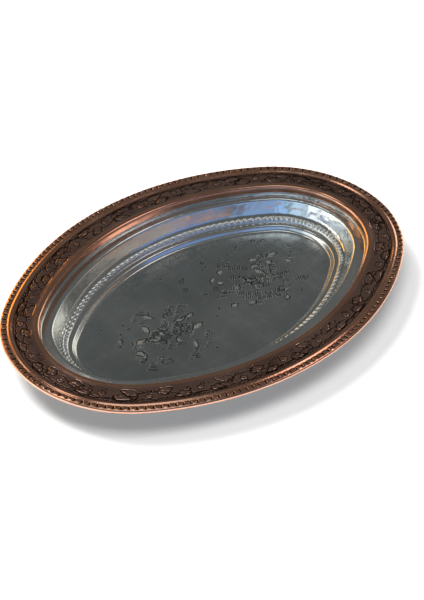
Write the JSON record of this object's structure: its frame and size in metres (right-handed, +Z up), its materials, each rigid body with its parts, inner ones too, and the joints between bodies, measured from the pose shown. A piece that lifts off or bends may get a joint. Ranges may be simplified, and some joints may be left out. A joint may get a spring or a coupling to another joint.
{
  "type": "oval serving tray",
  "caption": "Oval serving tray with a broad embossed copper flange, a rolled wired edge and a bright tinned well with a corded ring and an engraved flat floor.",
  "frame": {"origin": "centre of the flat base, on the surface that the tray stands on", "axes": "+X along the long axis of the oval, +Y along its short axis, +Z up out of the well"},
  "size_m": [0.34, 0.236, 0.0261],
  "materials": {
    "patinated_copper": "antiqued copper, polished on the raised parts",
    "wire": "bare drawn copper",
    "polished_tin": "bright tin, polished by hand"
  },
  "bodies": {
    "root": {"tray_sheet": "patinated_copper", "rim_wire": "wire", "tin_lining": "polished_tin"}
  },
  "joints": []
}
